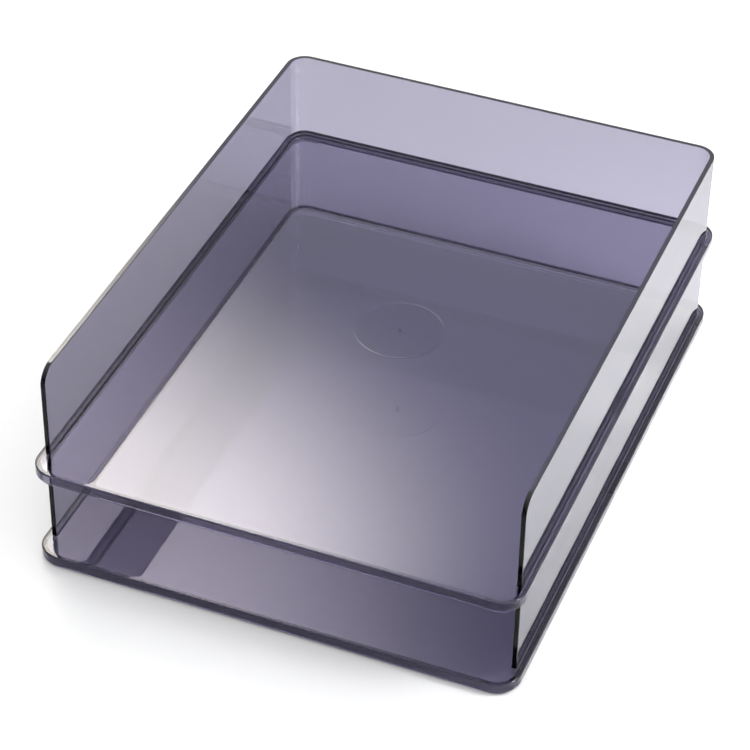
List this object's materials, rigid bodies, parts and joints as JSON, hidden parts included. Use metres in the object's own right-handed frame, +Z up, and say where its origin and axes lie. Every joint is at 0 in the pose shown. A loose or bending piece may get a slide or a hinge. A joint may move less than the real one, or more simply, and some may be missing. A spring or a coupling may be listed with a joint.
{
  "type": "letter tray",
  "caption": "Stack of open-fronted letter trays in smoky clear plastic; the upper tray stands on the lower tray's walls and lifts off.",
  "frame": {"origin": "on the table, under the middle of the lower tray's rim", "axes": "+Z up, -Y is the open front, +Y the back wall, X across the trays"},
  "size_m": [0.257, 0.3326, 0.1134],
  "materials": {
    "smoky_plastic": "clear grey-violet moulded plastic, glossy"
  },
  "bodies": {
    "lower": {"lower_tray": "smoky_plastic"},
    "upper": {"upper_tray": "smoky_plastic"}
  },
  "joints": [
    {"name": "upper_lift", "type": "slide", "parent": "lower", "child": "upper", "axis": [0, 0, 1], "range_m": [0, 0.12]}
  ]
}
